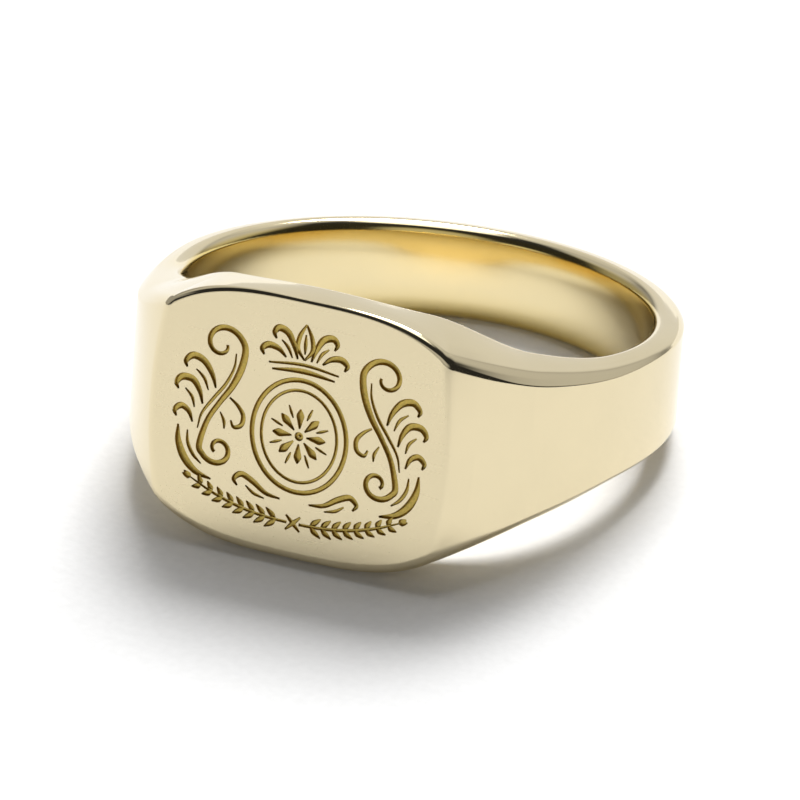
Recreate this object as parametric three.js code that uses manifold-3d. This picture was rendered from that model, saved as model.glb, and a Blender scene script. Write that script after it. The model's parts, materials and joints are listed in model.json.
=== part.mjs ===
// A signet ring in yellow gold, built up on the bench from five pieces: an engraved table, the seat
// under it, two shoulders and the back of the shank. It lies on its side, as a ring rests on a table.
//
// Millimetres. The pieces are drawn in the ring's own frame, with its origin in the middle of the
// finger hole: x across the head, y from the head to the back of the shank, z along the finger. The
// ring is symmetrical about x = 0, and all but its engraving about z = 0. The whole ring is lofted
// first and then sawn into its pieces, the ornament is cut into the table, and last the ring is tilted
// onto the two places where its lower rim meets the surface.

import * as THREE from 'three';
import { mergeVertices } from 'three/addons/utils/BufferGeometryUtils.js';
import Module from 'manifold-3d';

// The finger hole and its rounded, comfort-fit edges.
const BORE_RADIUS = 9;
const EDGE_ROUND = 0.4;

// The face: a barrel outline with four corners, flat all over. Its sides bow out between the corners,
// and the bow dies out along the first stretch of the shoulder.
const FACE_DISTANCE = 10.97;
const CORNER_HALF_WIDTH = 5.82;
const SIDE_BOW = 0.35;
const BOW_REACH = 0.3;
const MIDDLE_HALF_HEIGHT = 5.15;
const CORNER_HALF_HEIGHT = 3.9;
const LONG_EDGE_POWER = 3.3;

// The outside of the hoop, seen along the finger: each shoulder leaves the face's corner at an angle
// and swings round to the side of the hoop, and the back is half an ellipse.
const SHOULDER_FALL = THREE.MathUtils.degToRad(40);
const SHOULDER_START_PULL = 5;
const SHOULDER_END_PULL = 2.3;
const SIDE_RADIUS = 10.29;
const BACK_RADIUS = 10.2;

// Half heights along the finger. OUTER_RIM is the outer edge, from the face's corner (0) along the
// shoulder to the side of the hoop (1) and on to its back (2). INNER_RIM is the crest round the finger
// hole, by degrees from the middle of the head.
const OUTER_RIM = [[0, CORNER_HALF_HEIGHT], [0.33, 2.51], [0.67, 2.02], [1, 1.94], [1.5, 1.72], [2, 1.65]];
const OUTER_RIM_START_SLOPE = -5.6;
const INNER_RIM = [[0, 5.3], [25, 4.84], [50, 3.24], [75, 2.46], [110, 2.17], [180, 1.92]];

// How the ring is pieced: the table's thickness, the angle from the middle of the head to the joint
// between seat and shoulder, and the film of solder in every joint.
const TABLE_THICKNESS = 0.8;
const SEAT_ANGLE = THREE.MathUtils.degToRad(46);
const SOLDER_FILM = 0.02;

// The engraving is cut straight down into the table.
const ENGRAVING_DEPTH = 0.12;

// How finely the surfaces are divided.
const FACE_STEPS = 8;
const SHOULDER_STEPS = 14;
const BACK_STEPS = 14;
const CREST_STEPS = 4;
const WALL_STEPS = 3;
const STROKE_STEPS = 2;

const wasm = await Module();
wasm.setup();

// A smooth curve through [place, value] points that never overshoots them, with a given slope at its
// start and level at its end.
function smoothThrough(points, startSlope) {
  const rises = points.slice(1).map(([x, y], i) => (y - points[i][1]) / (x - points[i][0]));
  const slopes = points.map((_, i) => {
    if (i === 0) return startSlope;
    if (i === points.length - 1) return 0;
    return (2 * rises[i - 1] * rises[i]) / (rises[i - 1] + rises[i]);
  });
  return (x) => {
    const i = Math.min(points.filter(([place]) => place <= x).length, points.length - 1) - 1;
    const width = points[i + 1][0] - points[i][0];
    const t = (x - points[i][0]) / width;
    const start = points[i][1] * (1 + 2 * t) + slopes[i] * width * t;
    const end = points[i + 1][1] * (3 - 2 * t) - slopes[i + 1] * width * (1 - t);
    return start * (1 - t) ** 2 + end * t ** 2;
  };
}

const outerHalfHeight = smoothThrough(OUTER_RIM, OUTER_RIM_START_SLOPE);
const crestHalfHeight = smoothThrough(INNER_RIM, 0);

const shoulderOutline = new THREE.CubicBezierCurve(
  new THREE.Vector2(CORNER_HALF_WIDTH, -FACE_DISTANCE),
  new THREE.Vector2(
    CORNER_HALF_WIDTH + SHOULDER_START_PULL * Math.cos(SHOULDER_FALL),
    -FACE_DISTANCE + SHOULDER_START_PULL * Math.sin(SHOULDER_FALL),
  ),
  new THREE.Vector2(SIDE_RADIUS, -SHOULDER_END_PULL),
  new THREE.Vector2(SIDE_RADIUS, 0),
);

// A station is one place round the outside of the hoop: its outer edge's x, y and half height, and how
// far the outer wall bows out in x at mid height.
function faceStation(t) {
  const drop = (MIDDLE_HALF_HEIGHT - CORNER_HALF_HEIGHT) * t ** LONG_EDGE_POWER;
  const halfHeight = MIDDLE_HALF_HEIGHT - drop;
  return { x: t * CORNER_HALF_WIDTH, y: -FACE_DISTANCE, halfHeight, bow: t * SIDE_BOW };
}

function shoulderStation(u) {
  const { x, y } = shoulderOutline.getPoint(u);
  return { x, y, halfHeight: outerHalfHeight(u), bow: SIDE_BOW * Math.max(0, 1 - u / BOW_REACH) ** 2 };
}

function backStation(v) {
  const angle = (v * Math.PI) / 2;
  const x = SIDE_RADIUS * Math.cos(angle);
  return { x, y: BACK_RADIUS * Math.sin(angle), halfHeight: outerHalfHeight(1 + v), bow: 0 };
}

// All stations, from the middle of the face round the right side to the back and up the left side.
function stationsRoundTheHoop() {
  const right = [];
  for (let i = 0; i < FACE_STEPS; i += 1) right.push(faceStation(i / FACE_STEPS));
  for (let i = 0; i < SHOULDER_STEPS; i += 1) right.push(shoulderStation(i / SHOULDER_STEPS));
  for (let i = 0; i <= BACK_STEPS; i += 1) right.push(backStation(i / BACK_STEPS));
  const left = right.slice(1, -1).reverse();
  return [...right, ...left.map((station) => ({ ...station, x: -station.x, bow: -station.bow }))];
}

// The closed section through a station, as points in space: up the bore wall, over the rounded crest,
// down the sloping rim to the outer edge, and down the outer wall, then the same mirrored below.
function sectionAt({ x, y, halfHeight, bow }) {
  const radius = Math.hypot(x, y);
  const degrees = THREE.MathUtils.radToDeg(Math.acos(THREE.MathUtils.clamp(-y / radius, -1, 1)));
  const crestBase = crestHalfHeight(degrees) - EDGE_ROUND;
  const at = (r, z) => new THREE.Vector3((r * x) / radius, (r * y) / radius, z);
  const upper = [at(BORE_RADIUS, crestBase / 2)];
  for (let i = 0; i <= CREST_STEPS; i += 1) {
    const turn = (i / CREST_STEPS) * (Math.PI / 2);
    const r = BORE_RADIUS + EDGE_ROUND * (1 - Math.cos(turn));
    upper.push(at(r, crestBase + EDGE_ROUND * Math.sin(turn)));
  }
  for (let i = WALL_STEPS; i > 0; i -= 1) {
    const part = i / WALL_STEPS;
    upper.push(new THREE.Vector3(x + bow * (1 - part ** 2), y, part * halfHeight));
  }
  const lower = upper.map((point) => new THREE.Vector3(point.x, point.y, -point.z)).reverse();
  return [...upper, new THREE.Vector3(x + bow, y, 0), ...lower];
}

// The whole ring as one closed skin through all sections.
function wholeRing() {
  const sections = stationsRoundTheHoop().map(sectionAt);
  const count = sections[0].length;
  const positions = sections.flat().flatMap((point) => [point.x, point.y, point.z]);
  const index = [];
  for (let i = 0; i < sections.length; i += 1) {
    const here = i * count;
    const next = ((i + 1) % sections.length) * count;
    for (let k = 0; k < count; k += 1) {
      const after = (k + 1) % count;
      index.push(here + k, here + after, next + k);
      index.push(next + k, here + after, next + after);
    }
  }
  const geometry = new THREE.BufferGeometry();
  geometry.setAttribute('position', new THREE.Float32BufferAttribute(positions, 3));
  geometry.setIndex(index);
  return solidFrom(geometry);
}

function solidFrom(geometry) {
  const bare = geometry.clone();
  bare.deleteAttribute('normal');
  bare.deleteAttribute('uv');
  const merged = mergeVertices(bare, 1e-6);
  const mesh = new wasm.Mesh({
    numProp: 3,
    vertProperties: new Float32Array(merged.attributes.position.array),
    triVerts: new Uint32Array(merged.index.array),
  });
  return new wasm.Manifold(mesh);
}

function geometryFrom(solid) {
  const mesh = solid.getMesh();
  const geometry = new THREE.BufferGeometry();
  geometry.setAttribute('position', new THREE.BufferAttribute(mesh.vertProperties, 3));
  geometry.setIndex(new THREE.BufferAttribute(mesh.triVerts, 1));
  geometry.computeVertexNormals();
  return geometry;
}

// A tool for sawing: an outline in x and y, carried up and down past the ring.
function sawBlock(outline) {
  const depth = 4 * MIDDLE_HALF_HEIGHT;
  const shape = new THREE.Shape(outline.map(([x, y]) => new THREE.Vector2(x, y)));
  const geometry = new THREE.ExtrudeGeometry(shape, { depth, bevelEnabled: false });
  geometry.translate(0, 0, -depth / 2);
  return solidFrom(geometry);
}

const REACH = 3 * FACE_DISTANCE;
const slab = (xFrom, xTo, yFrom, yTo) => sawBlock([[xFrom, yFrom], [xTo, yFrom], [xTo, yTo], [xFrom, yTo]]);

// The wedge that holds the head, from the finger's axis forwards, with its sides moved out by an amount.
function headWedge(growth) {
  const side = REACH * Math.sin(SEAT_ANGLE);
  const front = -REACH * Math.cos(SEAT_ANGLE);
  const shift = growth / Math.sin(SEAT_ANGLE);
  return sawBlock([[0, shift], [-side, front + shift], [side, front + shift]]);
}

// Saws the whole ring along its joints, leaving room in each for its film of solder.
function sawnPieces() {
  const whole = wholeRing();
  const film = SOLDER_FILM / 2;
  const joint = TABLE_THICKNESS - FACE_DISTANCE;
  const table = whole.intersect(slab(-REACH, REACH, -REACH, joint - film));
  const rest = whole.intersect(slab(-REACH, REACH, joint + film, REACH));
  const hoop = rest.subtract(headWedge(film));
  return {
    seal_table: table.subtract(engraving()),
    head_seat: rest.intersect(headWedge(-film)),
    left_shoulder: hoop.intersect(slab(-REACH, 0, -REACH, -film)),
    right_shoulder: hoop.intersect(slab(0, REACH, -REACH, -film)),
    back_shank: hoop.intersect(slab(-REACH, REACH, film, REACH)),
  };
}

// The ornament: an oval cartouche with a rosette in it, a palmette above, a leafy scroll on each side
// and two laurel sprigs tied below. Each stroke of the graver is a row of [x, z, half width] points.

// Half widths for a stroke that swells from its tip to its belly and thins again to its end.
function swelling(points, tip, belly, end = tip) {
  return points.map(([x, z], i) => {
    const t = i / (points.length - 1);
    const edge = tip + (end - tip) * t;
    return [x, z, edge + (belly - edge) * Math.sin(Math.PI * t)];
  });
}

function oval(centre, halfWidth, halfHeight, line, steps) {
  return Array.from({ length: steps }, (_, i) => {
    const turn = (2 * Math.PI * i) / steps;
    return [halfWidth * Math.cos(turn), centre + halfHeight * Math.sin(turn), line];
  });
}

// A spiral about a centre, from one radius to another as it turns from one angle to another.
function volute([x, z], [fromRadius, toRadius], [fromDegrees, toDegrees], [fromLine, toLine]) {
  const steps = Math.round(Math.abs(toDegrees - fromDegrees) / 30);
  return Array.from({ length: steps + 1 }, (_, i) => {
    const t = i / steps;
    const turn = THREE.MathUtils.degToRad(fromDegrees + (toDegrees - fromDegrees) * t);
    const radius = fromRadius * (toRadius / fromRadius) ** t;
    return [x + radius * Math.cos(turn), z + radius * Math.sin(turn), fromLine + (toLine - fromLine) * t];
  });
}

// A straight stroke from a point, at an angle: [distance, half width] along it.
function spoke([x, z], angle, profile) {
  return profile.map(([far, line]) => [x + far * Math.cos(angle), z + far * Math.sin(angle), line]);
}

const CARTOUCHE_CENTRE = -0.2;

function cartouche() {
  const centre = [0, CARTOUCHE_CENTRE];
  const middle = [];
  for (let i = 0; i < 8; i += 1) {
    const angle = (i * Math.PI) / 4;
    middle.push(spoke(centre, angle, [[0.3, 0.02], [0.6, 0.1], [0.85, 0.15], [1.1, 0.02]]));
    middle.push(spoke(centre, angle + Math.PI / 8, [[0.75, 0.02], [1, 0.05], [1.28, 0.02]]));
  }
  const closed = [
    oval(CARTOUCHE_CENTRE, 1.95, 2.25, 0.09, 32),
    oval(CARTOUCHE_CENTRE, 1.56, 1.84, 0.055, 32),
    oval(CARTOUCHE_CENTRE, 0.1, 0.1, 0.07, 8),
  ];
  return { middle, closed, paired: [] };
}

function palmette() {
  return {
    closed: [],
    middle: [
      swelling([[-1.3, 2.28], [0, 2.42], [1.3, 2.28]], 0.03, 0.1),
      swelling([[-1.45, 2.52], [0, 2.68], [1.45, 2.52]], 0.03, 0.06),
      swelling([[0, 3.1], [0, 3.5], [0, 3.9]], 0.02, 0.07),
    ],
    paired: [
      swelling([[0, 2.86], [0.3, 3.3], [0.25, 3.8], [0, 4.3]], 0.03, 0.09),
      swelling([[0.28, 2.86], [0.45, 3.35], [0.72, 3.82], [1.1, 3.96], [1.3, 3.75], [1.2, 3.5]], 0.03, 0.14),
      swelling([[0.5, 2.86], [0.7, 3.25], [0.98, 3.5]], 0.02, 0.06),
      swelling([[0.75, 2.84], [1.08, 3.12], [1.5, 3.2], [1.76, 3], [1.66, 2.76]], 0.03, 0.13),
    ],
  };
}

function scroll() {
  const upper = volute([3.42, 2.78], [0.24, 0.98], [-190, 180], [0.05, 0.13]);
  const stem = [[2.55, 2, 0.14], [2.88, 1.2, 0.12], [3.38, 0.42, 0.1], [3.82, -0.38, 0.1]];
  const lower = volute([3.3, -1.4], [0.78, 0.2], [0, -410], [0.12, 0.06]);
  return {
    closed: [],
    middle: [],
    paired: [
      [...upper, ...stem, ...lower],
      swelling([[2.8, 2.55], [2.85, 1.95], [3.15, 1.25], [3.6, 0.6], [4.05, -0.1], [4.2, -0.75]], 0.02, 0.06),
      swelling([[2.95, 0.75], [2.6, 0.5], [2.35, 0.15], [2.4, -0.25], [2.7, -0.4], [2.85, -0.15]], 0.03, 0.09),
      swelling([[3.3, 0.1], [3.12, -0.25], [3.1, -0.55]], 0.02, 0.06),
    ],
  };
}

// The scroll's leaves, each with a fine line beside it.
function leaves() {
  return {
    closed: [],
    middle: [],
    paired: [
      swelling([[3.55, 1], [3.72, 1.5], [4.08, 1.98], [4.55, 2.12], [4.85, 1.85], [4.78, 1.6]], 0.03, 0.14),
      swelling([[3.85, 0.85], [4.05, 1.3], [4.4, 1.6]], 0.02, 0.06),
      swelling([[4.05, 0.25], [4.2, 0.75], [4.5, 1.15], [4.95, 1.18], [5.18, 0.9], [5.08, 0.66]], 0.03, 0.14),
      swelling([[4.38, 0.05], [4.5, 0.45], [4.8, 0.75]], 0.02, 0.06),
      swelling([[4.42, -0.55], [4.6, -0.15], [4.92, 0.02], [5.18, -0.2], [5.1, -0.45]], 0.03, 0.12),
      swelling([[5, -0.75], [4.95, -1.4], [4.65, -2.05], [4.15, -2.5], [3.5, -2.68]], 0.03, 0.16),
      swelling([[4.6, -0.9], [4.55, -1.4], [4.3, -1.85], [3.95, -2.15]], 0.02, 0.07),
      swelling([[0.6, -2.85], [1.2, -2.75], [1.75, -2.4], [2.25, -2.2], [2.55, -2.45], [2.4, -2.7]], 0.03, 0.12),
      swelling([[1.25, -2.98], [1.7, -2.86], [2.05, -2.62]], 0.02, 0.06),
    ],
  };
}

// Two laurel sprigs, bending up from a crossed tie under the cartouche.
function sprigs() {
  const reach = 4.1;
  const lift = 0.95;
  const bend = 2.2;
  const onStem = (t) => [0.25 + reach * t, -3.72 + lift * t ** bend];
  const paired = [
    swelling([0, 0.2, 0.4, 0.6, 0.8, 1].map(onStem), 0.05, 0.06, 0.02),
    swelling([[-0.3, -3.42], [0, -3.72], [0.3, -4.02]], 0.03, 0.08),
  ];
  for (let i = 0; i < 9; i += 1) {
    const t = 0.1 + 0.11 * i;
    const slope = Math.atan2(lift * bend * t ** (bend - 1), reach);
    const length = 0.66 - 0.22 * t;
    const leaf = [[0.08, 0.02], [0.38 * length, 0.1], [0.66 * length, 0.085], [length, 0.015]];
    const spread = THREE.MathUtils.degToRad(i < 8 ? 38 : 8);
    paired.push(spoke(onStem(t), slope + spread, leaf));
    paired.push(spoke(onStem(t), slope - spread, leaf));
  }
  return { closed: [], middle: [], paired };
}

// The outline of a stroke on one side of its centre line, at [distance, half width] from it.
function strokeSide(curve, steps, side) {
  return Array.from({ length: steps + 1 }, (_, i) => {
    const { x, y, z: halfWidth } = curve.getPoint(i / steps);
    const along = curve.getTangent(i / steps);
    const across = new THREE.Vector2(-along.y, along.x).normalize();
    return new THREE.Vector2(x, y).addScaledVector(across, side * halfWidth);
  });
}

// A cut of the graver, as a solid that stands from above the face down to the engraving's floor.
function cut(points, closed) {
  const nodes = points.map(([x, z, line]) => new THREE.Vector3(x, z, line));
  const curve = new THREE.CatmullRomCurve3(nodes, closed, 'catmullrom');
  const steps = STROKE_STEPS * (closed ? 1 : points.length - 1);
  const count = closed ? points.length : steps;
  const left = strokeSide(curve, count, 1);
  const right = strokeSide(curve, count, -1);
  const outline = closed ? new THREE.Shape(right) : new THREE.Shape([...right, ...left.reverse()]);
  if (closed) outline.holes.push(new THREE.Path(left));
  const geometry = new THREE.ExtrudeGeometry(outline, { depth: 2 * ENGRAVING_DEPTH, bevelEnabled: false });
  geometry.translate(0, 0, FACE_DISTANCE - ENGRAVING_DEPTH);
  geometry.rotateX(Math.PI / 2);
  return solidFrom(geometry);
}

// All cuts of the ornament in one solid.
function engraving() {
  const motifs = [cartouche(), palmette(), scroll(), leaves(), sprigs()];
  const cuts = motifs.flatMap(({ closed, middle, paired }) => [
    ...closed.map((points) => cut(points, true)),
    ...middle.map((points) => cut(points, false)),
    ...paired.map((points) => cut(points, false)),
    ...paired.map((points) => cut(points.map(([x, z, line]) => [-x, z, line]), false)),
  ]);
  return cuts.reduce((whole, next) => whole.add(next));
}

const GOLD_COLOURS = {
  seal_table: '#e2d4ab',
  head_seat: '#dccb97',
  left_shoulder: '#e9dfbf',
  right_shoulder: '#e9dfbf',
  back_shank: '#e6dab4',
};
const POLISH = 0.15;

const ring = new THREE.Group();
for (const [name, solid] of Object.entries(sawnPieces())) {
  const material = new THREE.MeshStandardMaterial({ metalness: 1, roughness: POLISH, flatShading: true });
  material.color.set(GOLD_COLOURS[name]);
  const mesh = new THREE.Mesh(geometryFrom(solid), material);
  mesh.name = name;
  ring.add(mesh);
}

// At rest the crest under the head and the crest under the back of the shank both touch the surface.
const restingSpan = 2 * (BORE_RADIUS + EDGE_ROUND);
ring.rotation.x = -Math.atan2(crestHalfHeight(0) - crestHalfHeight(180), restingSpan);

// The part's origin is under the middle of the ring, on the surface.
const bounds = new THREE.Box3().setFromObject(ring, true);
const middle = bounds.getCenter(new THREE.Vector3());
ring.position.set(-middle.x, -middle.y, -bounds.min.z);

const part = new THREE.Group();
part.add(ring);

export default part;
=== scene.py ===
"""A signet ring in polished yellow gold, lying on its side on a white table in soft studio light.

The ring is drawn in its own frame, in millimetres, with the origin in the middle of the finger hole:
x across the head, y from the head to the back of the shank, z along the finger. It is lofted as one
smooth skin, divided at the goldsmith's joints into its five pieces, engraved, and last tilted onto the
table and scaled to metres.
"""
import json
import math

import bmesh
import bpy
import numpy as np
from mathutils import Matrix, Vector

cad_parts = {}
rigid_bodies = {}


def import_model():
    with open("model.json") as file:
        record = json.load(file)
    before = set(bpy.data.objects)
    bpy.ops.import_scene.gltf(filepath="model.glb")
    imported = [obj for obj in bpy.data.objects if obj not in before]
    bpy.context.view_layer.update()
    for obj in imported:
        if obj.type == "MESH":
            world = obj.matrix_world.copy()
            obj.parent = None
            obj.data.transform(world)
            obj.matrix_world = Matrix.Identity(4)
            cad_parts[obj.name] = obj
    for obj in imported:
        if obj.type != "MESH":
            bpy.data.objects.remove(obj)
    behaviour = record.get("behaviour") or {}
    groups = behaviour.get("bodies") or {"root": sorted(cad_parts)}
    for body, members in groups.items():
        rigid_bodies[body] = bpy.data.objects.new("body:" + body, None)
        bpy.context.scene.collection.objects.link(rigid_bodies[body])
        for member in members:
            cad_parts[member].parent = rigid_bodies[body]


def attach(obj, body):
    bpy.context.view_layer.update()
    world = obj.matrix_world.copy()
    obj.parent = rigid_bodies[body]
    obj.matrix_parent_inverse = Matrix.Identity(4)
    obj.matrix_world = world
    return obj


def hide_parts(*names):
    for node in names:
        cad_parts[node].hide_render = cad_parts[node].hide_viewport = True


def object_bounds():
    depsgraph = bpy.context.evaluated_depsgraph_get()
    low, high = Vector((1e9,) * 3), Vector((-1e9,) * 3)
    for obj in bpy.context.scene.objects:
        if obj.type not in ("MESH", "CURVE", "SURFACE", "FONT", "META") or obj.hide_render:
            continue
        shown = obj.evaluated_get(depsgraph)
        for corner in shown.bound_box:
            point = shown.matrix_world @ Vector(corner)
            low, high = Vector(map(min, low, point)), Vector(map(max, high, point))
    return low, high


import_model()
cad_low, cad_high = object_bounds()

MM = 0.001

# A step or a gap too small to see.
TINY = 1e-4

# The finger hole and its rounded, comfort-fit edges.
BORE_RADIUS = 9.0
EDGE_ROUND = 0.4

# The face: a barrel outline with four corners, flat all over. Its long edges fall towards the corners by a
# power of the way there. Its short edges bow out, and the bow fades over a share of the shoulder.
FACE_DISTANCE = 10.97
CORNER_HALF_WIDTH = 5.82
SIDE_BOW = 0.35
BOW_REACH = 0.3
MIDDLE_HALF_HEIGHT = 5.15
CORNER_HALF_HEIGHT = 3.9
LONG_EDGE_POWER = 3.3

# The outside of the hoop, seen along the finger. The shoulder is one cubic curve, which leaves the corner
# at an angle and reaches the side square to it, and the pulls are the lengths of its handles.
SHOULDER_FALL = math.radians(40)
SHOULDER_START_PULL = 5.0
SHOULDER_END_PULL = 2.3
SIDE_RADIUS = 10.29
BACK_RADIUS = 10.2

# Half heights along the finger: of the outer edge, by stretch of the hoop (0 the face's corner, 1 the
# side, 2 the back), and of the crest round the finger hole, by degrees from the middle of the head.
OUTER_RIM = [[0, CORNER_HALF_HEIGHT], [0.33, 2.51], [0.67, 2.02], [1, 1.94], [1.5, 1.72], [2, 1.65]]
OUTER_RIM_START_SLOPE = -5.6
INNER_RIM = [[0, 5.3], [25, 4.84], [50, 3.24], [75, 2.46], [110, 2.17], [180, 1.92]]

# What polishing leaves of the edges. The finger hole flares a little towards its crest, for comfort, and
# the rim is slightly domed, by a share of its width. The face turns into the shoulder over CORNER_REACH on
# each side of the corner, and the edge above it changes course over about CORNER_SOFTNESS. The rim ends in
# a narrow bevel, whose measures go by degrees from the middle of the head. It meets the rim in a soft knee,
# which takes KNEE_SHARE of its length, and the outer wall in a crisp edge, which is rounded over EDGE_CUT
# or at most EDGE_SHARE of that length. Below the face the ring is softer: the bevel is wider there by
# FOOT_WIDTH, and its edge rounder.
FLARE = 0.13
FLARE_POWER = 3
RIM_DOME = 0.02
CORNER_REACH = 0.3
CORNER_SOFTNESS = 0.12
BEVEL_WIDTH = [[0, 0.09], [14, 0.13], [29, 0.28], [44, 0.38], [62, 0.32], [85, 0.17], [180, 0.15]]
BEVEL_SLOPE = math.radians(50)
KNEE_SHARE = 0.5
EDGE_SHARE = 0.45
FOOT_WIDTH = [[0, 0.12], [22, 0.12], [45, 0.0], [180, 0.0]]
EDGE_CUT = [[0, 0.05], [22, 0.05], [29, 0.15], [35, 0.13], [43, 0.05], [180, 0.045]]

# How the ring is pieced.
TABLE_THICKNESS = 0.8
SEAT_ANGLE = math.radians(46)

# How finely the skin is divided: along each stretch of the hoop, and along each part of its section.
FACE_STEPS, CORNER_STEPS, HEAD_SIDE_STEPS, SHOULDER_STEPS, BACK_STEPS = 30, 14, 26, 50, 60
SECTION_STEPS = [3, 12, 6, 6, 2, 8, 10]

# The graver's cuts, which keep clear of the edge of the face by BORDER. A wide stroke is cut deeper than a
# narrow one, from the first half width and depth to the second. A cut has a narrow chamfer round its rim
# and draws in towards its floor, by shares of its depth and half width. The cutter starts a little above
# the face. A stroke is drawn with STROKE_STEPS between its points, and a volute has a point every
# VOLUTE_STEP degrees.
BORDER = 0.4
CUT_HALF_WIDTHS = (0.05, 0.15)
CUT_DEPTHS = (0.09, 0.15)
CUT_RIM = 0.012
CUT_DRAWS_IN = [(0.75, 0.88), (1, 0.6)]
CUTTER_ABOVE = 0.06
STROKE_STEPS = 6
VOLUTE_STEP = 30

# Names of the layers that a mesh carries while it is made.
SKIN_NORMAL = "skin_normal"
JOINT = "joint"

QUARTER_TURN = np.array([[0, 1], [-1, 0]])


# ---------------------------------------------------------------- the skin of the ring

def smooth_through(points, start_slope=0.0):
    """A curve through [place, value] points that never overshoots them and ends level."""
    places, values = np.array(points, float).T
    widths = np.diff(places)
    rises = np.diff(values) / widths
    same_way = rises[:-1] * rises[1:] > 0
    total = np.where(same_way, rises[:-1] + rises[1:], 1.0)
    inner = np.where(same_way, 2 * rises[:-1] * rises[1:] / total, 0.0)
    slopes = np.concatenate([[start_slope], inner, [0.0]])

    def curve(x):
        i = np.clip(np.searchsorted(places, x, side="right") - 1, 0, len(widths) - 1)
        t = (x - places[i]) / widths[i]
        start = values[i] * (1 + 2 * t) + slopes[i] * widths[i] * t
        end = values[i + 1] * (3 - 2 * t) - slopes[i + 1] * widths[i] * (1 - t)
        return start * (1 - t) ** 2 + end * t ** 2

    return curve


outer_half_height = smooth_through(OUTER_RIM, OUTER_RIM_START_SLOPE)
crest_half_height = smooth_through(INNER_RIM)
bevel_width = smooth_through(BEVEL_WIDTH)
foot_width = smooth_through(FOOT_WIDTH)
edge_length = smooth_through(EDGE_CUT)

SHOULDER_POLES = np.array([
    [CORNER_HALF_WIDTH, -FACE_DISTANCE],
    [CORNER_HALF_WIDTH + SHOULDER_START_PULL * math.cos(SHOULDER_FALL),
     -FACE_DISTANCE + SHOULDER_START_PULL * math.sin(SHOULDER_FALL)],
    [SIDE_RADIUS, -SHOULDER_END_PULL],
    [SIDE_RADIUS, 0.0],
])
SHOULDER_SPEED = 3 * SHOULDER_START_PULL


def bezier(poles, t):
    """Points at t on the cubic with four poles. Each pole is a pair, or a pair for every t."""
    t = np.asarray(t, float)[..., None]
    a, b, c, d = poles
    return a * (1 - t) ** 3 + 3 * b * t * (1 - t) ** 2 + 3 * c * t * t * (1 - t) + d * t ** 3


def corner_poles():
    """The blend from the face to the shoulder, level with both where it meets them."""
    start = np.array([CORNER_HALF_WIDTH - CORNER_REACH, -FACE_DISTANCE])
    nearly, end = bezier(SHOULDER_POLES, np.array([CORNER_REACH - TINY, CORNER_REACH]) / SHOULDER_SPEED)
    heading = (end - nearly) / np.linalg.norm(end - nearly)
    handle = 2 * CORNER_REACH / 3
    return np.array([start, start + [handle, 0.0], end - handle * heading, end])


CORNER_POLES = corner_poles()


def outline(place):
    """Round the right half of the hoop: x, y and distance past the corner. The place runs from 0 in the
    middle of the face to 1, over the corner to 2, down the shoulder to 3 and round the back to 4."""
    t = np.clip(place - [[0], [1], [2], [3]], 0, 1)
    face = np.stack([t[0] * (CORNER_HALF_WIDTH - CORNER_REACH), np.full_like(t[0], -FACE_DISTANCE)], -1)
    corner = bezier(CORNER_POLES, t[1])
    first = CORNER_REACH / SHOULDER_SPEED
    share = first + t[2] * (1 - first)
    shoulder = bezier(SHOULDER_POLES, share)
    angle = t[3] * math.pi / 2
    back = np.stack([SIDE_RADIUS * np.cos(angle), BACK_RADIUS * np.sin(angle)], -1)
    stretch = np.clip(place.astype(int), 0, 3)
    xy = np.choose(stretch[:, None], [face, corner, shoulder, back])
    past = np.choose(stretch, [
        face[:, 0] - CORNER_HALF_WIDTH,
        CORNER_REACH * (2 * t[1] - 1),
        share * SHOULDER_SPEED,
        (1 + t[3]) * SHOULDER_SPEED,
    ])
    return xy[:, 0], xy[:, 1], past


def outer_edge(past):
    """Half height of the outer edge, and how far the wall under it bows out in x."""
    root = np.hypot(past, CORNER_SOFTNESS)
    on_face = np.clip(1 + (past - root) / 2 / CORNER_HALF_WIDTH, 0, 1)
    on_shoulder = np.clip((past + root) / 2 / SHOULDER_SPEED, 0, 2)
    fall = (MIDDLE_HALF_HEIGHT - CORNER_HALF_HEIGHT) * on_face ** LONG_EDGE_POWER
    half_height = MIDDLE_HALF_HEIGHT - fall + outer_half_height(on_shoulder) - CORNER_HALF_HEIGHT
    bow = SIDE_BOW * on_face * np.clip(1 - on_shoulder / BOW_REACH, 0, 1) ** 2
    return half_height, bow


def rounded(vertex, heading_in, heading_out, cut, t):
    """Points at t on the rounding of a corner, which starts and ends a cut's length from it."""
    turn = np.arccos(np.clip((heading_in * heading_out).sum(-1), -1, 1))
    handle = (cut * 4 / 3 * np.tan(turn / 4) / np.tan(turn / 2))[:, None]
    start = vertex - cut[:, None] * heading_in
    end = vertex + cut[:, None] * heading_out
    return bezier([start, start + handle * heading_in, end - handle * heading_out, end], t)


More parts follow.
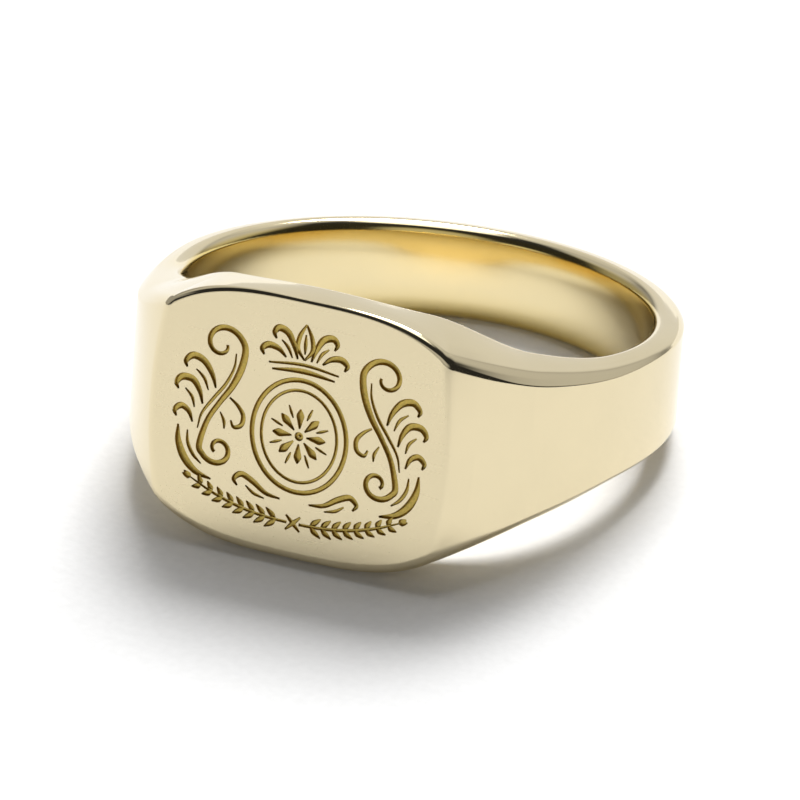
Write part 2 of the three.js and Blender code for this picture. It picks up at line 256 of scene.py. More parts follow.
def skin(place, part, lower):
    """Points on the right half of the skin, drawn as if on its upper quarter. The part runs from 0 at mid
    height in the bore, over the crest and the rim, to 7 at mid height on the outer wall."""
    x, y, past = outline(place)
    radius = np.hypot(x, y)
    degrees = np.degrees(np.arctan2(x, -y))
    crest = crest_half_height(degrees)
    half_height, bow = outer_edge(past)

    softer = foot_width(degrees) if lower else np.zeros_like(degrees)
    half_height = half_height - softer * math.tan(BEVEL_SLOPE)
    width = bevel_width(degrees) + softer
    knee = np.stack([radius - width, half_height + width * math.tan(BEVEL_SLOPE)], -1)
    edge = np.stack([radius, half_height], -1)
    to_knee = knee - np.stack([np.full_like(radius, BORE_RADIUS + EDGE_ROUND), crest - EDGE_ROUND], -1)
    slope = np.arctan2(to_knee[:, 0], to_knee[:, 1]) - np.arccos(EDGE_ROUND / np.hypot(*to_knee.T))
    brow_height = knee[:, 1] + (knee[:, 0] - BORE_RADIUS) * np.tan(slope)
    brow = np.stack([np.full_like(radius, BORE_RADIUS), brow_height], -1)

    up = np.broadcast_to([0.0, 1.0], edge.shape)
    along_rim = np.stack([np.cos(slope), -np.sin(slope)], -1)
    along_bevel = np.broadcast_to([math.cos(BEVEL_SLOPE), -math.sin(BEVEL_SLOPE)], edge.shape)
    bevel_length = width / math.cos(BEVEL_SLOPE)
    brow_cut = brow[:, 1] - crest + EDGE_ROUND
    knee_cut = KNEE_SHARE * bevel_length
    edge_cut = np.minimum(edge_length(degrees) + softer, EDGE_SHARE * bevel_length)

    t = np.clip(part - np.arange(7)[:, None], 0, 1)
    bore_top = brow - brow_cut[:, None] * up
    bore = bore_top * [1, 0] + bore_top * [0, 1] * t[0][:, None]
    crest_curve = rounded(brow, up, along_rim, brow_cut, t[1])
    rim_start, rim_end = brow + brow_cut[:, None] * along_rim, knee - knee_cut[:, None] * along_rim
    dome = 4 * RIM_DOME * (t[2] * (1 - t[2]))[:, None] * (rim_end - rim_start)
    rim = rim_start + (rim_end - rim_start) * t[2][:, None] + dome @ QUARTER_TURN
    knee_curve = rounded(knee, along_rim, along_bevel, knee_cut, t[3])
    bevel_start, bevel_end = knee + knee_cut[:, None] * along_bevel, edge - edge_cut[:, None] * along_bevel
    bevel = bevel_start + (bevel_end - bevel_start) * t[4][:, None]
    edge_curve = rounded(edge, along_bevel, -up, edge_cut, t[5])
    wall_top = edge - edge_cut[:, None] * up
    wall = wall_top * [1, 0] + wall_top * [0, 1] * (1 - t[6])[:, None]

    stretch = np.clip(part.astype(int), 0, 6)
    flat = np.choose(stretch[:, None], [bore, crest_curve, rim, knee_curve, bevel, edge_curve, wall])
    level = flat[:, 1] / wall_top[:, 1]
    shift = bow * np.where(stretch == 6, 1 - level ** 2, 0.0)
    shift -= np.where(stretch == 5, 2 * bow * (level - 1) * t[5] ** 2, 0.0)
    rise = np.clip(flat[:, 1] / rim_start[:, 1], 0, 1) ** FLARE_POWER
    share = np.choose(np.minimum(stretch, 3), [rise, rise, 1 - t[2], np.zeros_like(rise)])
    r = (flat[:, 0] + FLARE * share) / radius
    return np.stack([r * x + shift, r * y, flat[:, 1]], -1)


def skin_with_normals(place, part, lower):
    """Points and outward normals on the skin, at every place and part."""
    p, q = (a.ravel() for a in np.meshgrid(place, part, indexing="ij"))
    along = skin(np.clip(p + TINY, 0, 4), q, lower) - skin(np.clip(p - TINY, 0, 4), q, lower)
    around = skin(p, np.clip(q + TINY, 0, 7), lower) - skin(p, np.clip(q - TINY, 0, 7), lower)
    normals = np.cross(around, along)
    normals /= np.linalg.norm(normals, axis=1, keepdims=True)
    shape = (len(place), len(part), 3)
    return skin(p, q, lower).reshape(shape), normals.reshape(shape)


def place_at(angle, halvings=50):
    """The place on the shoulder at an angle from the middle of the head."""
    low, high = 2.0, 3.0
    for _ in range(halvings):
        middle = (low + high) / 2
        x, y, _ = outline(np.array([middle]))
        low, high = (middle, high) if math.atan2(x[0], -y[0]) < angle else (low, middle)
    return low


def divided(start, end, steps):
    return np.linspace(start, end, steps, endpoint=False)


PARTS = np.concatenate([divided(i, i + 1, steps) for i, steps in enumerate(SECTION_STEPS)] + [[7.0]])

HEAD_END = place_at(SEAT_ANGLE)
HEAD_PLACES = np.concatenate([
    divided(0, 1, FACE_STEPS), divided(1, 2, CORNER_STEPS), np.linspace(2, HEAD_END, HEAD_SIDE_STEPS),
])
SHOULDER_PLACES = np.linspace(HEAD_END, 3, SHOULDER_STEPS)
BACK_PLACES = np.linspace(3, 4, BACK_STEPS)


def sections(place, mirrored=False):
    """The closed sections at some places of one half of the hoop: [points, normals], each a row a place."""
    side = np.array([-1.0 if mirrored else 1.0, 1.0, 1.0])
    upper, lower = skin_with_normals(place, PARTS, False), skin_with_normals(place, PARTS, True)
    return [
        np.concatenate([above * side, below[:, -2:0:-1] * side * [1, 1, -1]], axis=1)
        for above, below in zip(upper, lower)
    ]


def joined(*stretches):
    return [np.concatenate(rows) for rows in zip(*stretches)]


def tube(points, normals):
    """A closed mesh through rows of sections, capped at both ends, with its normals kept in a layer."""
    rows, count = points.shape[:2]
    bm = bmesh.new()
    normal_layer = bm.verts.layers.float_vector.new(SKIN_NORMAL)
    cap_layer = bm.faces.layers.int.new(JOINT)
    verts = []
    for place, normal in zip(points.reshape(-1, 3), normals.reshape(-1, 3)):
        verts.append(bm.verts.new(place))
        verts[-1][normal_layer] = normal
    for i in range(rows - 1):
        for k in range(count):
            a, b = i * count + k, i * count + (k + 1) % count
            bm.faces.new([verts[a], verts[b], verts[b + count], verts[a + count]])
    for ring in (verts[:count][::-1], verts[-count:]):
        bm.faces.new(ring)[cap_layer] = 1
    return bm


def sawn(bm, keep_front):
    """The part of a mesh in front of the joint under the table, or behind it, closed there."""
    part = bm.copy()
    joint = Vector((0, TABLE_THICKNESS - FACE_DISTANCE, 0))
    everything = part.verts[:] + part.edges[:] + part.faces[:]
    bmesh.ops.bisect_plane(
        part, geom=everything, dist=1e-6, plane_co=joint, plane_no=(0, 1, 0),
        clear_outer=keep_front, clear_inner=not keep_front,
    )
    rim = [edge for edge in part.edges if edge.is_boundary]
    made = bmesh.ops.contextual_create(part, geom=rim)
    for face in made["faces"]:
        face[part.faces.layers.int[JOINT]] = 1
    bmesh.ops.recalc_face_normals(part, faces=part.faces[:])
    return part


# ---------------------------------------------------------------- the engraving

def swelling(points, tip, belly, end=None):
    """Half widths for a stroke that swells from its tip to its belly and thins again to its end."""
    end = tip if end is None else end
    made = []
    for i, (x, z) in enumerate(points):
        t = i / (len(points) - 1)
        edge = tip + (end - tip) * t
        made.append((x, z, edge + (belly - edge) * math.sin(math.pi * t)))
    return made


def oval(centre, half_width, half_height, line, steps):
    turns = [2 * math.pi * i / steps for i in range(steps)]
    return [(half_width * math.cos(a), centre + half_height * math.sin(a), line) for a in turns]


def volute(centre, radii, degrees, lines):
    """A spiral about a centre, from one radius, angle and half width to another."""
    steps = round(abs(degrees[1] - degrees[0]) / VOLUTE_STEP)
    made = []
    for i in range(steps + 1):
        t = i / steps
        turn = math.radians(degrees[0] + (degrees[1] - degrees[0]) * t)
        radius = radii[0] * (radii[1] / radii[0]) ** t
        x, z = centre[0] + radius * math.cos(turn), centre[1] + radius * math.sin(turn)
        made.append((x, z, lines[0] + (lines[1] - lines[0]) * t))
    return made


def spoke(start, angle, profile):
    """A straight stroke from a point, at an angle: (distance, half width) along it."""
    x, z = math.cos(angle), math.sin(angle)
    return [(start[0] + far * x, start[1] + far * z, line) for far, line in profile]


CARTOUCHE_CENTRE = -0.2


def cartouche():
    centre = (0, CARTOUCHE_CENTRE)
    middle = []
    for i in range(8):
        angle = i * math.pi / 4
        middle.append(spoke(centre, angle, [(0.3, 0.02), (0.6, 0.1), (0.85, 0.15), (1.1, 0.02)]))
        middle.append(spoke(centre, angle + math.pi / 8, [(0.75, 0.02), (1, 0.05), (1.28, 0.02)]))
    closed = [
        oval(CARTOUCHE_CENTRE, 1.95, 2.25, 0.09, 32),
        oval(CARTOUCHE_CENTRE, 1.56, 1.84, 0.055, 32),
        oval(CARTOUCHE_CENTRE, 0.1, 0.1, 0.07, 8),
    ]
    return closed, middle, []


def palmette():
    middle = [
        swelling([(-1.3, 2.28), (0, 2.42), (1.3, 2.28)], 0.03, 0.1),
        swelling([(-1.45, 2.52), (0, 2.68), (1.45, 2.52)], 0.03, 0.06),
        swelling([(0, 3.1), (0, 3.5), (0, 3.9)], 0.02, 0.07),
    ]
    paired = [
        swelling([(0, 2.86), (0.3, 3.3), (0.25, 3.8), (0, 4.3)], 0.03, 0.09),
        swelling(
            [(0.28, 2.86), (0.45, 3.35), (0.72, 3.82), (1.1, 3.96), (1.3, 3.75), (1.2, 3.5)],
            0.03, 0.14,
        ),
        swelling([(0.5, 2.86), (0.7, 3.25), (0.98, 3.5)], 0.02, 0.06),
        swelling([(0.75, 2.84), (1.08, 3.12), (1.5, 3.2), (1.76, 3), (1.66, 2.76)], 0.03, 0.13),
    ]
    return [], middle, paired


def scroll():
    upper = volute((3.42, 2.78), (0.24, 0.98), (-190, 180), (0.05, 0.13))
    stem = [(2.55, 2, 0.14), (2.88, 1.2, 0.12), (3.38, 0.42, 0.1), (3.82, -0.38, 0.1)]
    lower = volute((3.3, -1.4), (0.78, 0.2), (0, -410), (0.12, 0.06))
    paired = [
        upper + stem + lower,
        swelling(
            [(2.8, 2.55), (2.85, 1.95), (3.15, 1.25), (3.6, 0.6), (4.05, -0.1), (4.2, -0.75)],
            0.02, 0.06,
        ),
        swelling(
            [(2.95, 0.75), (2.6, 0.5), (2.35, 0.15), (2.4, -0.25), (2.7, -0.4), (2.85, -0.15)],
            0.03, 0.09,
        ),
        swelling([(3.3, 0.1), (3.12, -0.25), (3.1, -0.55)], 0.02, 0.06),
    ]
    return [], [], paired


def leaves():
    """The scroll's leaves, each with a fine line beside it."""
    paired = [
        swelling(
            [(3.55, 1), (3.72, 1.5), (4.08, 1.98), (4.55, 2.12), (4.85, 1.85), (4.78, 1.6)],
            0.03, 0.14,
        ),
        swelling([(3.85, 0.85), (4.05, 1.3), (4.4, 1.6)], 0.02, 0.06),
        swelling(
            [(4.05, 0.25), (4.2, 0.75), (4.5, 1.15), (4.95, 1.18), (5.18, 0.9), (5.08, 0.66)],
            0.03, 0.14,
        ),
        swelling([(4.38, 0.05), (4.5, 0.45), (4.8, 0.75)], 0.02, 0.06),
        swelling([(4.42, -0.55), (4.6, -0.15), (4.92, 0.02), (5.18, -0.2), (5.1, -0.45)], 0.03, 0.12),
        swelling([(5, -0.75), (4.95, -1.4), (4.65, -2.05), (4.15, -2.5), (3.5, -2.68)], 0.03, 0.16),
        swelling([(4.6, -0.9), (4.55, -1.4), (4.3, -1.85), (3.95, -2.15)], 0.02, 0.07),
        swelling(
            [(0.6, -2.85), (1.2, -2.75), (1.75, -2.4), (2.25, -2.2), (2.55, -2.45), (2.4, -2.7)],
            0.03, 0.12,
        ),
        swelling([(1.25, -2.98), (1.7, -2.86), (2.05, -2.62)], 0.02, 0.06),
    ]
    return [], [], paired


def sprigs():
    """Two laurel sprigs, bending up from a crossed tie under the cartouche."""
    reach, lift, bend = 4.1, 0.95, 2.2

    def on_stem(t):
        return 0.25 + reach * t, -3.72 + lift * t ** bend

    paired = [
        swelling([on_stem(i / 5) for i in range(6)], 0.05, 0.06, 0.02),
        swelling([(-0.3, -3.42), (0, -3.72), (0.3, -4.02)], 0.03, 0.08),
    ]
    for i in range(9):
        t = 0.1 + 0.11 * i
        slope = math.atan2(lift * bend * t ** (bend - 1), reach)
        length = 0.66 - 0.22 * t
        leaf = [(0.08, 0.02), (0.38 * length, 0.1), (0.66 * length, 0.085), (length, 0.015)]
        spread = math.radians(38 if i < 8 else 8)
        paired.append(spoke(on_stem(t), slope + spread, leaf))
        paired.append(spoke(on_stem(t), slope - spread, leaf))
    return [], [], paired


def stroke_line(points, closed):
    """A stroke's centre line and half widths, drawn smoothly through its points."""
    p = np.array(points, float)
    if closed:
        p = np.concatenate([p[-1:], p, p[:2]])
    else:
        p = np.concatenate([2 * p[:1] - p[1:2], p, 2 * p[-1:] - p[-2:-1]])
    t = divided(0, 1, STROKE_STEPS)[:, None]
    spans = []
    for a, b, c, d in zip(p, p[1:], p[2:], p[3:]):
        bend = 2 * a - 5 * b + 4 * c - d
        twist = 3 * b - a - 3 * c + d
        spans.append(b + (c - a) * t / 2 + bend * t ** 2 / 2 + twist * t ** 3 / 2)
    return np.concatenate(spans if closed else spans + [p[-2:-1]])


def cutter(points, closed, side):
    """A closed mesh of the metal that one stroke of the graver takes away, mirrored where side is -1."""
    line = stroke_line(points, closed) * [side, 1, 1]
    if closed:
        heading = np.roll(line, -1, axis=0) - np.roll(line, 1, axis=0)
    else:
        heading = np.gradient(line, axis=0)
    across = heading[:, :2] @ QUARTER_TURN
    across /= np.linalg.norm(across, axis=1, keepdims=True)
    half = line[:, 2]
    depth = np.interp(half.max(), CUT_HALF_WIDTHS, CUT_DEPTHS)
    profile = [(-CUTTER_ABOVE, half + CUT_RIM + CUTTER_ABOVE), (CUT_RIM, half)]
    profile += [(down * depth, reach * half) for down, reach in CUT_DRAWS_IN]
    rows = []
    for down, reach in profile + profile[::-1]:
        way = 1 if len(rows) < len(profile) else -1
        xz = line[:, :2] + way * across * reach[:, None]
        rows.append(np.stack([xz[:, 0], np.full(len(line), down - FACE_DISTANCE), xz[:, 1]], -1))
    bm = bmesh.new()
    rings = [[bm.verts.new(row[i]) for row in rows] for i in range(len(line))]
    pairs = list(zip(rings, rings[1:])) + ([(rings[-1], rings[0])] if closed else [])
    for here, following in pairs:
        for k in range(len(rows)):
            after = (k + 1) % len(rows)
            bm.faces.new([here[k], here[after], following[after], following[k]])
    if not closed:
        bm.faces.new(rings[0][::-1])
        bm.faces.new(rings[-1])
    bmesh.ops.recalc_face_normals(bm, faces=bm.faces[:])
    return mesh_from(bm, "cut")


def engraving():
    """A cutter for every stroke. A motif is its closed strokes, its open ones, and those that it has on
    both sides."""
    cuts = []
    for motif in (cartouche(), palmette(), scroll(), leaves(), sprigs()):
        closed, middle, paired = motif
        cuts += [cutter(points, True, 1) for points in closed]
        cuts += [cutter(points, False, 1) for points in middle]
        cuts += [cutter(points, False, side) for points in paired for side in (1, -1)]
    return cuts


def mesh_from(bm, name):
    mesh = bpy.data.meshes.new(name)
    bm.to_mesh(mesh)
    bm.free()
    return mesh


def engraved(mesh):
    """The table's mesh with the ornament cut into it."""
    block = bpy.data.objects.new("table_block", mesh)
    bpy.context.scene.collection.objects.link(block)
    tools = bpy.data.collections.new("graver")
    for cut in engraving():
        tools.objects.link(bpy.data.objects.new("cut", cut))
    modifier = block.modifiers.new("engraving", "BOOLEAN")
    modifier.operation = "DIFFERENCE"
    modifier.operand_type = "COLLECTION"
    modifier.collection = tools
    modifier.solver = "MANIFOLD"
    bpy.context.view_layer.update()
    made = bpy.data.meshes.new_from_object(block.evaluated_get(bpy.context.evaluated_depsgraph_get()))
    for tool in list(tools.objects):
        bpy.data.meshes.remove(tool.data)
    bpy.data.collections.remove(tools)
    bpy.data.objects.remove(block)
    return made


# ---------------------------------------------------------------- the pieces in place

TILT = math.atan2(crest_half_height(0.0) - crest_half_height(180.0), 2 * (BORE_RADIUS + EDGE_ROUND))


def ring_to_table():
    """Tilts the ring onto its lower rim and puts it where the CAD ring lies."""
    front = FACE_DISTANCE * math.cos(TILT) + MIDDLE_HALF_HEIGHT * math.sin(TILT)
    crest = BORE_RADIUS + EDGE_ROUND
    drop = crest_half_height(0.0) * math.cos(TILT) - crest * math.sin(TILT)
    middle = Vector((0, cad_low.y + front * MM, cad_low.z + drop * MM))
    return Matrix.Translation(middle) @ Matrix.Rotation(-TILT, 4, "X") @ Matrix.Scale(MM, 4)


PLACED = ring_to_table()


def gather(data, field, width):
    values = np.empty(len(data) * width, np.float32)
    data.foreach_get(field, values)
    return values.reshape(-1, width)


def piece(mesh, name, cad_node, materials):
    """Turns a finished mesh into a piece that stands for a CAD node, with its exact normals. Corners that
    only the cuts have made carry no normal of the skin, and take that of their face."""
    poly_normals = gather(mesh.polygons, "normal", 3)
    centres = gather(mesh.polygons, "center", 3)
    is_joint = gather(mesh.attributes[JOINT].data, "value", 1)[:, 0] > 0.5
    depths = centres[:, 1] + FACE_DISTANCE
    on_face = depths < TINY
    in_groove = (depths > TINY) & (depths < 2 * CUT_DEPTHS[1]) & ~is_joint
    in_groove &= np.abs(centres[:, 0]) < CORNER_HALF_WIDTH - 2 * CORNER_REACH
    in_groove &= np.abs(centres[:, 2]) < outer_edge(np.abs(centres[:, 0]) - CORNER_HALF_WIDTH)[0] - BORDER
    poly_normals[on_face] = (0, -1, 0)

    smooth = gather(mesh.attributes[SKIN_NORMAL].data, "vector", 3)
    corner_vert = np.empty(len(mesh.loops), np.int32)
    mesh.loops.foreach_get("vertex_index", corner_vert)
    sizes = np.empty(len(mesh.polygons), np.int32)
    mesh.polygons.foreach_get("loop_total", sizes)
    flat = np.repeat(is_joint | on_face | in_groove, sizes)
    flat_normals = np.repeat(poly_normals, sizes, axis=0)
    normals = np.where(flat[:, None], flat_normals, smooth[corner_vert])
    length = np.linalg.norm(normals, axis=1, keepdims=True)
    normals = np.where(length > 0.1, normals / np.maximum(length, 0.1), flat_normals)

    mesh.materials.clear()
    for material in materials:
        mesh.materials.append(material)
    mesh.polygons.foreach_set("material_index", in_groove.astype(np.int32))
    mesh.attributes.remove(mesh.attributes[SKIN_NORMAL])
    mesh.attributes.remove(mesh.attributes[JOINT])
    mesh.transform(PLACED)
    mesh.shade_smooth()
    mesh.normals_split_custom_set(normals @ np.array(PLACED.to_3x3()).T / MM)
    mesh.name = name
    made = bpy.data.objects.new(name, mesh)
    bpy.context.scene.collection.objects.link(made)
    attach(made, "root")
    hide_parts(cad_node)


def make_ring(gold, cut_gold):
    right = tube(*sections(SHOULDER_PLACES))
    left = tube(*[rows[::-1] for rows in sections(SHOULDER_PLACES, mirrored=True)])
    other_back = [rows[-2::-1] for rows in sections(BACK_PLACES, mirrored=True)]
    back = tube(*joined(sections(BACK_PLACES), other_back))
    other_head = [rows[:0:-1] for rows in sections(HEAD_PLACES, mirrored=True)]
    head = tube(*joined(other_head, sections(HEAD_PLACES)))
    table = engraved(mesh_from(sawn(head, True), "table"))
    seat = mesh_from(sawn(head, False), "seat")
    head.free()
    left, right, back = (mesh_from(bm, "bar") for bm in (left, right, back))
    piece(table, "engraved_table", "seal_table", [gold["table"], cut_gold])
    piece(seat, "polished_seat", "head_seat", [gold["seat"]])
    piece(left, "polished_left_shoulder", "left_shoulder", [gold["shoulder"]])
    piece(right, "polished_right_shoulder", "right_shoulder", [gold["shoulder"]])
    piece(back, "polished_back_shank", "back_shank", [gold["shank"]])


# ---------------------------------------------------------------- materials

# Pale yellow gold, the finger hole's wall and crests, which are painted lighter and warmer as a glow of
# light bounced round the hole, and the floor of the graver's cuts and their walls, which are painted darker
# with shade.
GOLD = (0.75, 0.65, 0.43)
BORE_GLOW_GOLD = (0.79, 0.68, 0.42)
CREST_GLOW_GOLD = (0.77, 0.6, 0.22)
CUT_FLOOR = (0.66, 0.5, 0.13)
CUT_WALL_SHADE = (0.4, 0.25, 0.05)
WHITE = (0.86, 0.86, 0.86)

# Roughness: of the polish, from its clearest to its haziest, and what is added to it by a hairline scratch,
# by only rubbing the finger hole smooth, and by stoning, which only the engraved table gets.
POLISH = (0.085, 0.12)
SCRATCHED = 0.04
RUBBED = 0.06
STONED = {"table": 0.16, "seat": 0.0, "shoulder": 0.0, "shank": 0.0}
CUT_ROUGHNESS = (0.42, 0.62)

# The lowest and highest value that a noise usually has, and what of it shows as a hairline scratch.
NOISE = (0.3, 0.7)
SCRATCH_NOISE = (0.64, 0.78)

# The rubbed finish of the finger hole ends within BORE_FADE past its flare, and so does the lighter, warmer
# glow painted on its gold, which is at its warmest and most orange from this share of the flare on.
BORE_FADE = 0.1
WARMEST_GLOW = 0.6


def new_material(name):
    material = bpy.data.materials.new(name)
    material.use_nodes = True
    return material, material.node_tree.nodes["Principled BSDF"]


def feed(material, socket, value):
    """Joins an input to another node's output, or sets it to a value."""
    if isinstance(value, bpy.types.NodeSocket):
        material.node_tree.links.new(value, socket)
    else:
        socket.default_value = value


def node(material, kind, inputs, **settings):
    """A new shader node of a material or of the world, with some of its inputs and settings."""
    made = material.node_tree.nodes.new("ShaderNode" + kind)
    for name, value in settings.items():
        setattr(made, name, value)
    for name, value in inputs.items():
        feed(material, made.inputs[name], value)
    return made


def millimetres(material, stretch=(1, 1, 1), turn=(0, 0, 0)):
    """The place on the piece in millimetres, stretched and turned."""
    place = node(material, "TexCoord", {}).outputs["Object"]
    scale = [a / MM for a in stretch]
    return node(material, "Mapping", {"Vector": place, "Rotation": turn, "Scale": scale}).outputs["Vector"]


def noise(material, place, scale, detail=2.0):
    return node(material, "TexNoise", {"Vector": place, "Scale": scale, "Detail": detail}).outputs["Fac"]


def remap(material, value, start, end, low=0, high=1):
    """Brings a value from between start and end to between low and high."""
    inputs = {"Value": value, "From Min": start, "From Max": end, "To Min": low, "To Max": high}
    return node(material, "MapRange", inputs).outputs["Result"]


def shade(material, colour, share, low, high):
    """A colour made darker or lighter by a noise, by a factor between low and high."""
    factor = remap(material, share, *NOISE, low, high)
    return node(material, "VectorMath", {0: colour, "Scale": factor}, operation="SCALE").outputs["Vector"]


def roughen(material, shader, height, strength, depth):
    bump = node(material, "Bump", {"Strength": strength, "Distance": depth * MM, "Height": height})
    feed(material, shader.inputs["Normal"], bump.outputs["Normal"])


def placed_way(way):
    """A direction in the ring's own frame, as it points once the ring lies on the table."""
    return (PLACED.to_3x3() @ Vector(way)).normalized()


def from_axis(material):
    """The distance from the axis of the finger hole."""
    place = node(material, "TexCoord", {}).outputs["Object"]
    offset = node(material, "VectorMath", {0: place, 1: PLACED.translation}, operation="SUBTRACT")
    inputs = {0: offset.outputs["Vector"], 1: placed_way((0, 0, 1))}
    across = node(material, "VectorMath", inputs, operation="CROSS_PRODUCT")
    return node(material, "VectorMath", {0: across.outputs["Vector"]}, operation="LENGTH").outputs["Value"]


def facing_out(material):
    """How squarely the surface faces the way that the ring's face does."""
    normal = node(material, "NewGeometry", {}).outputs["True Normal"]
    inputs = {0: normal, 1: placed_way((0, -1, 0))}
    return node(material, "VectorMath", inputs, operation="DOT_PRODUCT").outputs["Value"]


def plus(material, value, share, most):
    """The value, raised by a share of the most that it can be raised."""
    inputs = {0: share, 1: most, 2: value}
    return node(material, "Math", inputs, operation="MULTIPLY_ADD").outputs["Value"]


def mix(material, share, first, second):
    return node(material, "MixRGB", {"Fac": share, "Color1": first, "Color2": second}).outputs["Color"]


def polished_gold(name, seed, stoned):
    """Gold off the buffing wheel, with a faint haze and hairline scratches in its polish. The finger hole
    is only rubbed smooth, which leaves it softer, and its gold is painted a little lighter and warmer, most
    orange towards its crests, as a painted glow of light bounced round the hole. Stoning roughens what lies
    flat with the face."""
    material, shader = new_material(name)
    haze = noise(material, millimetres(material, turn=(0, 0, seed)), 0.4, 3.0)
    across = noise(material, millimetres(material, (0.5, 16, 12), (0.3, 0.5, 0.2 + seed)), 1.0)
    along = noise(material, millimetres(material, (14, 0.6, 18), (0.4, 0.1, 0.9 + seed)), 1.0)
    both = node(material, "Math", {0: across, 1: along}, operation="MAXIMUM").outputs["Value"]
    scratch = remap(material, both, *SCRATCH_NOISE)
    radius = from_axis(material)
    bore_end = BORE_RADIUS + FLARE
    inside = remap(material, radius, (bore_end + BORE_FADE) * MM, bore_end * MM)
    crest_glow = remap(material, radius, BORE_RADIUS * MM, (BORE_RADIUS + WARMEST_GLOW * FLARE) * MM)
    on_face = remap(material, facing_out(material), 0.85, 0.999)
    roughness = remap(material, haze, *NOISE, *POLISH)
    for share, most in ((scratch, SCRATCHED), (inside, RUBBED), (on_face, stoned)):
        roughness = plus(material, roughness, share, most)
    # Painted glow: inside the finger hole the gold is painted lighter and warmer, and orange towards the
    # crests, for light bounced round the hole.
    tone = mix(material, inside, (*GOLD, 1), mix(material, crest_glow, (*BORE_GLOW_GOLD, 1), (*CREST_GLOW_GOLD, 1)))
    shader.inputs["Metallic"].default_value = 1.0
    feed(material, shader.inputs["Base Color"], shade(material, tone, haze, 0.985, 1.015))
    feed(material, shader.inputs["Roughness"], roughness)
    roughen(material, shader, scratch, 0.03, -0.004)
    return material


def engraved_gold():
    """The cuts of the graver: a matt, grainy floor between walls painted darker with shade."""
    material, shader = new_material("engraved_gold")
    grain = noise(material, millimetres(material), 11.0, 3.0)
    on_floor = remap(material, facing_out(material), 0.55, 0.97)
    # Painted shade: the walls of the cuts, which turn away from the way the face looks, are painted a
    # darker brown than their floor.
    tone = mix(material, on_floor, (*CUT_WALL_SHADE, 1), (*CUT_FLOOR, 1))
    shader.inputs["Metallic"].default_value = 1.0
    feed(material, shader.inputs["Base Color"], shade(material, tone, grain, 0.7, 1.15))
    feed(material, shader.inputs["Roughness"], remap(material, grain, *NOISE, *CUT_ROUGHNESS))
    roughen(material, shader, grain, 0.5, 0.02)
    return material


def table_white():
    """White card with a fine tooth."""
    material, shader = new_material("table_white")
    tooth = noise(material, millimetres(material), 2.6, 4.0)
    feed(material, shader.inputs["Base Color"], shade(material, WHITE, tooth, 0.98, 1.02))
    shader.inputs["Roughness"].default_value = 1.0
    roughen(material, shader, tooth, 0.3, 0.04)
    return material


# ---------------------------------------------------------------- the studio

# Where the camera stands, in degrees and metres, its lens, and how far it aims beside the ring's middle.
CAMERA_AZIMUTH = 24.05
CAMERA_ELEVATION = 29.57
CAMERA_DISTANCE = 0.42
CAMERA_LENS = 488.8
AIM_RIGHT = -0.593 * MM
AIM_UP = -1.98 * MM

# Half the width of the table top, in metres.
TABLE_REACH = 1.5


def away(azimuth, elevation):
    """The direction from the ring to something at an azimuth, 0 in front of the face and 90 on the
    right of it, and an elevation, in degrees."""
    azimuth, elevation = math.radians(azimuth), math.radians(elevation)
    return Vector((
        math.sin(azimuth) * math.cos(elevation),
        -math.cos(azimuth) * math.cos(elevation),
        math.sin(elevation),
    ))


def make_camera():
    back = away(CAMERA_AZIMUTH, CAMERA_ELEVATION)
    turn = back.to_track_quat("Z", "Y")
    right, up = turn @ Vector((1, 0, 0)), turn @ Vector((0, 1, 0))
    data = bpy.data.cameras.new("camera")
    data.lens = CAMERA_LENS
    data.sensor_width = 36.0
    data.clip_start, data.clip_end = 0.05, 20.0
    camera = bpy.data.objects.new("camera", data)
    camera.location = PLACED.translation + back * CAMERA_DISTANCE + right * AIM_RIGHT + up * AIM_UP
    camera.rotation_mode = "QUATERNION"
    camera.rotation_quaternion = turn
    bpy.context.scene.collection.objects.link(camera)
    bpy.context.scene.camera = camera


def make_table():
    mesh = bpy.data.meshes.new("table_top")
    corners = [(x * TABLE_REACH, y * TABLE_REACH, 0) for x, y in ((-1, -1), (1, -1), (1, 1), (-1, 1))]
    mesh.from_pydata(corners, [], [(0, 1, 2, 3)])
    mesh.materials.append(table_white())
    table = bpy.data.objects.new("table_top", mesh)
    bpy.context.scene.collection.objects.link(table)


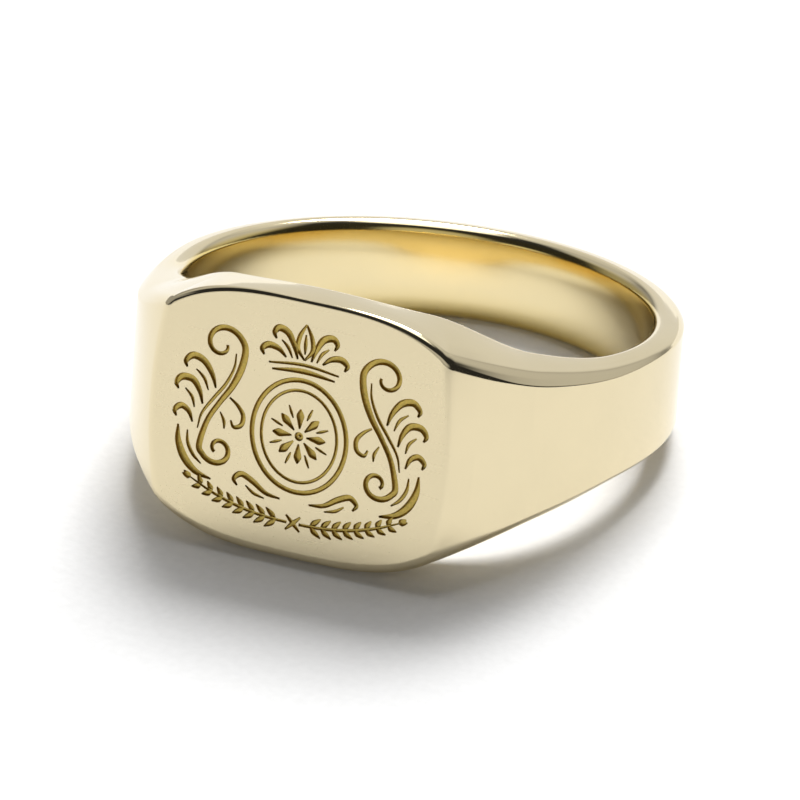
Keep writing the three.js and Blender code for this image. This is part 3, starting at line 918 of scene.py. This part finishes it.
def softbox(name, azimuth, elevation, distance, size, radiance):
    """A soft light that faces the ring: its width and height, and how bright its surface is."""
    data = bpy.data.lights.new(name, "AREA")
    data.shape = "RECTANGLE"
    data.size, data.size_y = size
    data.energy = radiance * math.pi * size[0] * size[1]
    light = bpy.data.objects.new(name, data)
    way = away(azimuth, elevation)
    light.location = PLACED.translation + way * distance
    light.rotation_mode = "QUATERNION"
    light.rotation_quaternion = way.to_track_quat("Z", "Y")
    bpy.context.scene.collection.objects.link(light)


# The dim surroundings, as soft round patches of a dark room: azimuth and elevation of the middle, how far
# the patch reaches at full and at no strength, all in degrees, and its brightness.
ROOM = 0.026
SURROUNDINGS = {
    "overhead": (180, 79, 11, 22, 2.2),
    "behind": (178, 46, 10, 34, 0.78),
    "behind_left": (-150, 42, 8, 34, 0.74),
    "behind_low": (-166, 6, 22, 40, 0.86),
    "behind_right": (146, 26, 8, 34, 0.65),
    "left_wall": (-105, 8, 16, 38, 0.4),
    "left_high": (-115, 37, 8, 26, 0.6),
    "front_left": (-24, 6, 14, 26, 0.9),
    "front": (20, 30, 12, 34, 0.6),
}


def make_room():
    world = bpy.data.worlds.new("studio")
    world.use_nodes = True
    way = node(world, "TexCoord", {}).outputs["Generated"]
    light = ROOM
    for azimuth, elevation, inner, outer, brightness in SURROUNDINGS.values():
        inputs = {0: way, 1: away(azimuth, elevation)}
        near = node(world, "VectorMath", inputs, operation="DOT_PRODUCT").outputs["Value"]
        edge, full = math.cos(math.radians(outer)), math.cos(math.radians(inner))
        inputs = {"Value": near, "From Min": edge, "From Max": full, "To Max": brightness}
        patch = node(world, "MapRange", inputs, interpolation_type="SMOOTHSTEP").outputs["Result"]
        light = node(world, "Math", {0: light, 1: patch}, operation="MAXIMUM").outputs["Value"]
    feed(world, world.node_tree.nodes["Background"].inputs["Color"], light)
    bpy.context.scene.world = world


def make_studio():
    softbox("key", azimuth=190, elevation=54, distance=1.5, size=(0.64, 0.64), radiance=18.5)
    make_room()
    bpy.context.scene.view_settings.view_transform = "Standard"


gold = {name: polished_gold(f"{name}_gold", i, most) for i, (name, most) in enumerate(STONED.items())}
make_ring(gold, engraved_gold())
make_camera()
make_table()
make_studio()
